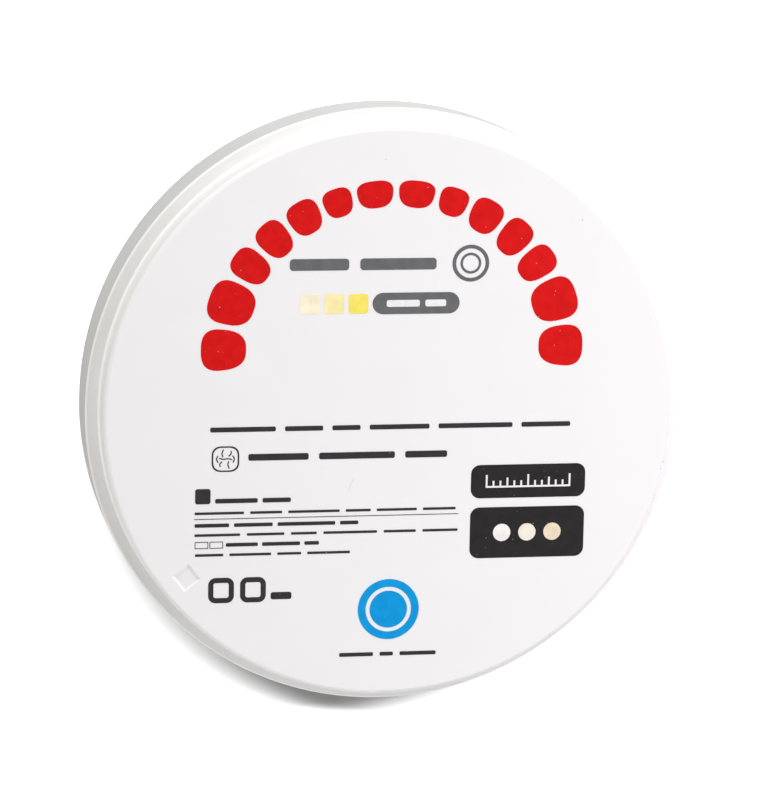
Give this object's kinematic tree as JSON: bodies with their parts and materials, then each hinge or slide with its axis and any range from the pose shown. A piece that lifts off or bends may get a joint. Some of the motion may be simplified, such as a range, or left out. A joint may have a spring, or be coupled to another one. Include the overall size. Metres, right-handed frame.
{
  "type": "dental milling disc",
  "caption": "Round ceramic milling blank with a clamping collar round its rim, raised flat faces and a small square orientation mark near the edge of the front face.",
  "frame": {"origin": "centre of the back face, on the surface that the disc lies on", "axes": "+Z along the disc's axis, out of the printed front face; seen from the front, +X points right and +Y points to the top of the face as it is read"},
  "size_m": [0.098, 0.098, 0.022],
  "materials": {
    "ceramic": "matt, chalky, pre-sintered"
  },
  "bodies": {
    "root": {"milling_disc": "ceramic"}
  },
  "joints": []
}
